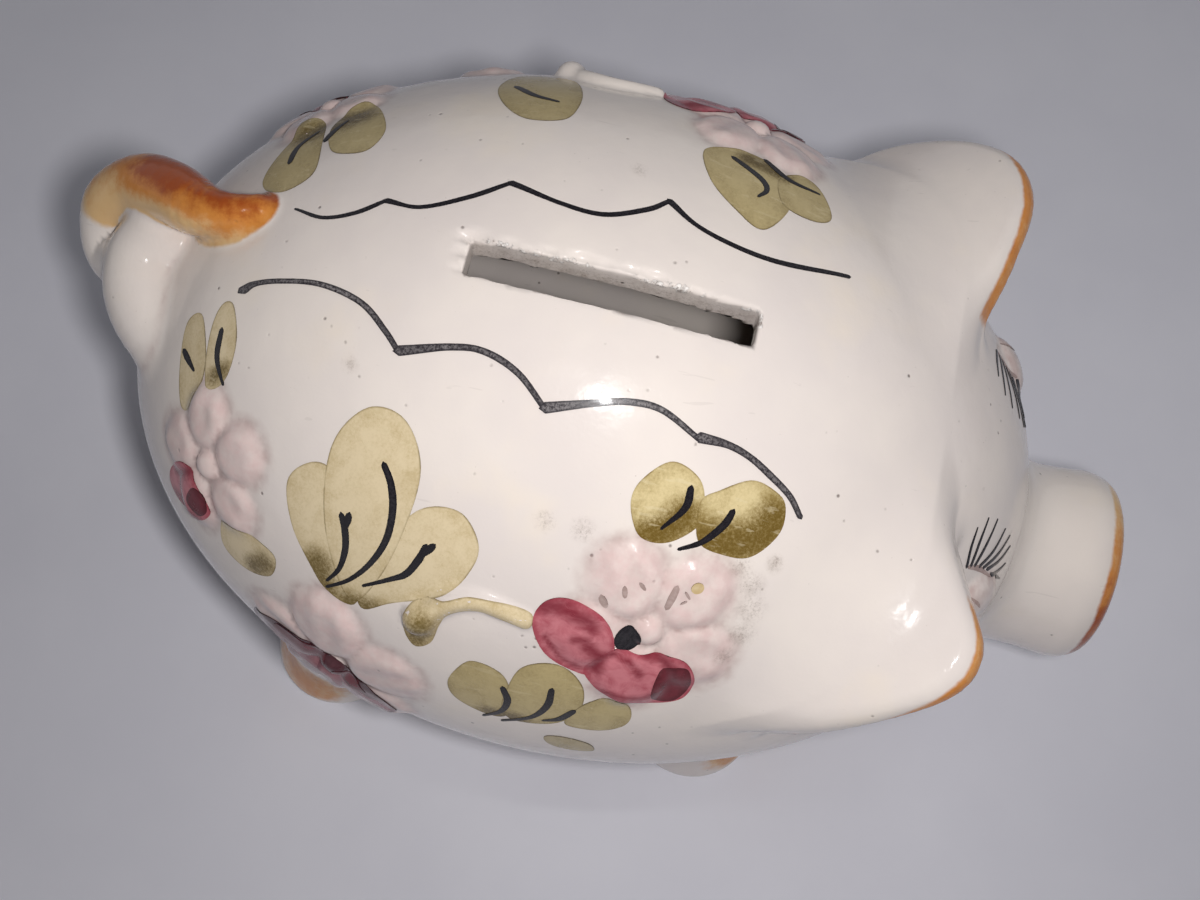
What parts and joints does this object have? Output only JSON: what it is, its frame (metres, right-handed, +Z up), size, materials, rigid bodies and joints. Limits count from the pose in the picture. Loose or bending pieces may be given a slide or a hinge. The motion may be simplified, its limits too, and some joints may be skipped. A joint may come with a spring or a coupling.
{
  "type": "piggy bank",
  "caption": "Hollow glazed pottery pig money box with a coin slot in its back, relief flowers, a curled tail, short hooved legs and a pull-out belly stopper.",
  "frame": {"origin": "middle of the bounding box's base, on the plane under the four hooves", "axes": "+Z up, -Y along the snout, +X to the pig's left"},
  "size_m": [0.1002, 0.1562, 0.1019],
  "materials": {
    "glaze_cream": "glossy cream glaze",
    "glaze_ochre": "glossy glaze over ochre and burnt orange brushwork",
    "glaze_pink": "glossy glaze over pale pink and crimson petals",
    "glaze_crimson": "glossy glaze over crimson and pink petals",
    "stopper_rubber": "matte black rubber"
  },
  "bodies": {
    "pig": {"body_shell": "glaze_cream", "snout": "glaze_cream", "tail": "glaze_ochre", "ear_left": "glaze_cream", "eye_left": "glaze_cream", "leg_front_left": "glaze_cream", "leg_rear_left": "glaze_cream", "flower_front_left": "glaze_pink", "flower_rear_left": "glaze_crimson", "flower_rump_left": "glaze_pink", "stem_left": "glaze_cream", "ear_right": "glaze_cream", "eye_right": "glaze_cream", "leg_front_right": "glaze_cream", "leg_rear_right": "glaze_cream", "flower_front_right": "glaze_pink", "flower_rear_right": "glaze_crimson", "flower_rump_right": "glaze_pink", "stem_right": "glaze_cream"},
    "stopper": {"stopper": "stopper_rubber"}
  },
  "joints": [
    {"name": "stopper_pull", "type": "slide", "parent": "pig", "child": "stopper", "axis": [0, 0, -1], "range_m": [0, 0.03]}
  ]
}
